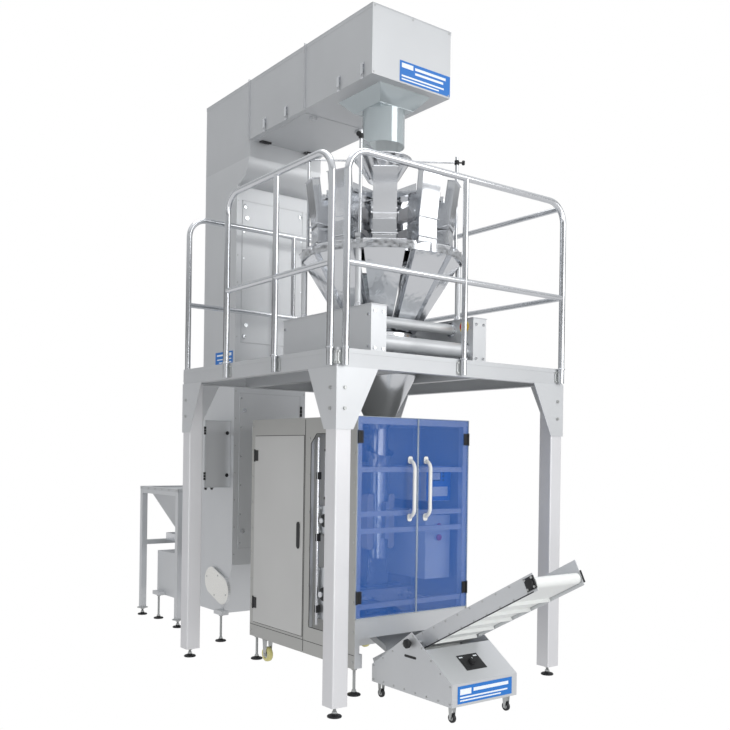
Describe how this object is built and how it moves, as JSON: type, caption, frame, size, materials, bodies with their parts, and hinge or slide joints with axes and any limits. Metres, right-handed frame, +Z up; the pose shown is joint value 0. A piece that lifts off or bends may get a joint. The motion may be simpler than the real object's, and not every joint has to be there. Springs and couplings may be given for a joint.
{
  "type": "vertical form fill sealer line",
  "caption": "Free-standing bagging line: work platform with weigher over a vertical form fill seal machine, bucket elevator, vibrating feeder and inclined take-off conveyor.",
  "frame": {"origin": "middle of the whole line's box, on the floor", "axes": "+X to the right along the bagger's front, +Y from the take-off conveyor at the front to the feeder at the back, +Z up"},
  "size_m": [1.822, 4.4225, 4.07],
  "materials": {
    "stainless_brushed": "fine brushed stainless sheet",
    "deck_steel": "treaded stainless plate",
    "polished_stainless": "polished stainless",
    "bagger_sheet": "satin grey powder coat over sheet",
    "blue_clear": "clear blue tinted polycarbonate sheet",
    "white_handle": "moulded white plastic",
    "machined_aluminium": "machined aluminium",
    "pull_belt_rubber": "pale vacuum belt rubber",
    "knife_steel": "ground tool steel",
    "film": "wound clear film",
    "white_enamel": "white enamelled sheet",
    "red_button": "moulded red plastic",
    "levelling_foot": "black nylon pad on a plated spindle",
    "castor_cream": "cream polyurethane tyre in a plated fork",
    "bucket_plastic": "white food plastic",
    "white_belt": "white food belt",
    "black_plastic": "black moulded plastic"
  },
  "bodies": {
    "machine": {"platform_legs": "stainless_brushed", "platform_frame": "stainless_brushed", "deck_plate": "deck_steel", "corner_gussets": "stainless_brushed", "handrails": "polished_stainless", "platform_bolts": "polished_stainless", "levelling_feet": "levelling_foot", "weigher_base": "stainless_brushed", "weigher_body": "polished_stainless", "radial_feeders": "polished_stainless", "feed_hoppers": "polished_stainless", "weigh_hoppers": "polished_stainless", "hopper_gates": "polished_stainless", "discharge_chutes": "polished_stainless", "infeed_funnel": "polished_stainless", "collecting_funnel": "polished_stainless", "bagger_frame": "stainless_brushed", "bagger_panels": "bagger_sheet", "forming_tube": "polished_stainless", "forming_collar": "polished_stainless", "jaw_rods": "polished_stainless", "film_rollers": "polished_stainless", "electrical_cabinet": "white_enamel", "discharge_slide": "polished_stainless", "bagger_castors": "castor_cream", "elevator_column": "stainless_brushed", "elevator_arm": "stainless_brushed", "discharge_collar": "polished_stainless", "upper_service_panel": "stainless_brushed", "control_box": "stainless_brushed", "elevator_boot": "stainless_brushed", "bucket_chain": "bucket_plastic", "feeder_frame": "stainless_brushed", "feeder_hopper": "polished_stainless"},
    "door_left": {"front_door_left": "blue_clear", "handle_left": "white_handle"},
    "door_right": {"front_door_right": "blue_clear", "handle_right": "white_handle"},
    "cabinet_side_door": {"side_door": "bagger_sheet"},
    "column_door": {"lower_column_door": "stainless_brushed"},
    "hatch": {"arm_hatch": "stainless_brushed"},
    "box_door": {"control_box_door": "stainless_brushed"},
    "jaw_front": {"front_jaw": "machined_aluminium"},
    "jaw_rear": {"rear_jaw": "machined_aluminium"},
    "cutter": {"knife": "knife_steel"},
    "back_sealer": {"vertical_sealer": "machined_aluminium"},
    "belt_puller_left": {"pull_belt_left": "pull_belt_rubber"},
    "belt_puller_right": {"pull_belt_right": "pull_belt_rubber"},
    "reel": {"film_roll": "film"},
    "dancer": {"dancer_arm": "machined_aluminium"},
    "tray": {"feeder_tray": "polished_stainless"},
    "takeaway": {"takeaway_base": "stainless_brushed", "takeaway_castors": "black_plastic"},
    "incline": {"takeaway_frame": "stainless_brushed", "takeaway_belt": "white_belt"},
    "belt_drive": {"drive_roller": "polished_stainless"},
    "knob": {"speed_knob": "black_plastic"},
    "button_weigher": {"weigher_stop_button": "red_button"},
    "button_stop": {"stop_button": "red_button"},
    "button_start": {"start_button": "red_button"}
  },
  "joints": [
    {"name": "left_door_hinge", "type": "hinge", "parent": "machine", "child": "door_left", "pos_m": [-0.503, -0.98069, 0.45], "axis": [0, 0, 1], "range_deg": [-95, 0]},
    {"name": "right_door_hinge", "type": "hinge", "parent": "machine", "child": "door_right", "pos_m": [0.361, -0.98069, 0.45], "axis": [0, 0, 1], "range_deg": [0, 95]},
    {"name": "side_door_hinge", "type": "hinge", "parent": "machine", "child": "cabinet_side_door", "pos_m": [-0.516, 0.17931, 0.27], "axis": [0, 0, 1], "range_deg": [-110, 0]},
    {"name": "column_door_hinge", "type": "hinge", "parent": "machine", "child": "column_door", "pos_m": [0.199, 0.71931, 0.69], "axis": [0, 0, 1], "range_deg": [0, 55]},
    {"name": "arm_hatch_hinge", "type": "hinge", "parent": "machine", "child": "hatch", "pos_m": [-0.071, 0.50931, 3.645], "axis": [1, 0, 0], "range_deg": [0, 80]},
    {"name": "control_box_hinge", "type": "hinge", "parent": "machine", "child": "box_door", "pos_m": [-0.591, 0.76931, 1.14], "axis": [0, 0, 1], "range_deg": [-110, 0]},
    {"name": "front_jaw_slide", "type": "slide", "parent": "machine", "child": "jaw_front", "axis": [0, 1, 0], "range_m": [0, 0.038]},
    {"name": "rear_jaw_slide", "type": "slide", "parent": "machine", "child": "jaw_rear", "axis": [0, -1, 0], "range_m": [0, 0.038]},
    {"name": "knife_slide", "type": "slide", "parent": "jaw_front", "child": "cutter", "axis": [0, 1, 0], "range_m": [0, 0.025]},
    {"name": "vertical_sealer_slide", "type": "slide", "parent": "machine", "child": "back_sealer", "axis": [0, -1, 0], "range_m": [0, 0.015]},
    {"name": "left_pull_belt_slide", "type": "slide", "parent": "machine", "child": "belt_puller_left", "axis": [-1, 0, 0], "range_m": [0, 0.03]},
    {"name": "right_pull_belt_slide", "type": "slide", "parent": "machine", "child": "belt_puller_right", "axis": [1, 0, 0], "range_m": [0, 0.03]},
    {"name": "film_roll_spin", "type": "hinge", "parent": "machine", "child": "reel", "pos_m": [-0.071, -0.07569, 0.48], "axis": [1, 0, 0], "continuous": true},
    {"name": "dancer_arm_pivot", "type": "hinge", "parent": "machine", "child": "dancer", "pos_m": [-0.071, -0.27569, 0.76], "axis": [1, 0, 0], "range_deg": [-20, 20]},
    {"name": "feeder_tray_vibration", "type": "slide", "parent": "machine", "child": "tray", "axis": [0, 1, 0], "range_m": [-0.003, 0.003], "stiffness_N_per_m": 20000},
    {"name": "takeaway_roll_out", "type": "slide", "parent": "machine", "child": "takeaway", "axis": [0, -1, 0], "range_m": [0, 0.5]},
    {"name": "incline_tilt", "type": "hinge", "parent": "takeaway", "child": "incline", "pos_m": [-0.171, -1.35703, 0.36868], "axis": [1, 0, 0], "range_deg": [-2, 2]},
    {"name": "drive_roller_spin", "type": "hinge", "parent": "incline", "child": "belt_drive", "pos_m": [-0.171, -2.16569, 0.79], "axis": [1, 0, 0], "continuous": true},
    {"name": "speed_knob_turn", "type": "hinge", "parent": "takeaway", "child": "knob", "pos_m": [-0.171, -1.58819, 0.28167], "axis": [0, -0.5547, 0.8321], "range_deg": [-135, 135]},
    {"name": "weigher_stop_button_press", "type": "slide", "parent": "machine", "child": "button_weigher", "axis": [1, 0, 0], "range_m": [0, 0.005], "stiffness_N_per_m": 400},
    {"name": "stop_button_press", "type": "slide", "parent": "machine", "child": "button_stop", "axis": [0, 1, 0], "range_m": [0, 0.005], "stiffness_N_per_m": 400},
    {"name": "start_button_press", "type": "slide", "parent": "machine", "child": "button_start", "axis": [0, 1, 0], "range_m": [0, 0.005], "stiffness_N_per_m": 400}
  ],
  "couplings": [
    {"joint": "rear_jaw_slide", "follows": "front_jaw_slide", "ratio": 1},
    {"joint": "right_pull_belt_slide", "follows": "left_pull_belt_slide", "ratio": 1}
  ]
}
